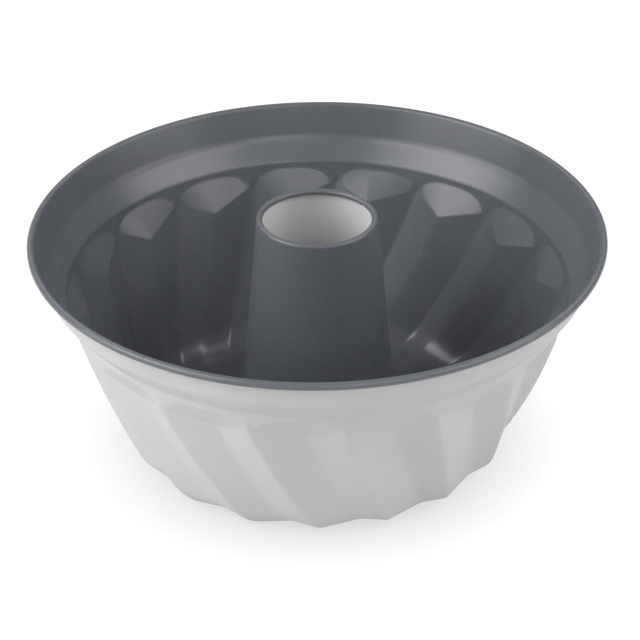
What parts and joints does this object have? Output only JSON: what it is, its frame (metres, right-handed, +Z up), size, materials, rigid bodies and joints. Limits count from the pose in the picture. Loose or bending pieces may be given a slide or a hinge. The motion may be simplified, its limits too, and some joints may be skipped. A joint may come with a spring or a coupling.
{
  "type": "fluted tube pan",
  "caption": "Round fluted ring cake pan of pressed sheet steel, with swirled V flutes, a flared rolled rim and a conical open centre tube folded into the floor.",
  "frame": {"origin": "on the table, in the middle of the pan's resting ring", "axes": "+Z up along the tube's axis, out of the pan's mouth; the picture looks along +Y from above, and the tube's lap seam is at the back right, 28 degrees from +X towards +Y"},
  "size_m": [0.226, 0.226, 0.1003],
  "materials": {
    "body_coated_steel": "light grey satin lacquer outside, dark slate non-stick coat on the inside and over the rolled rim",
    "tube_coated_steel": "dark slate non-stick coat outside, light grey satin lacquer in the bore"
  },
  "bodies": {
    "root": {"pan_body": "body_coated_steel", "centre_tube": "tube_coated_steel"}
  },
  "joints": []
}
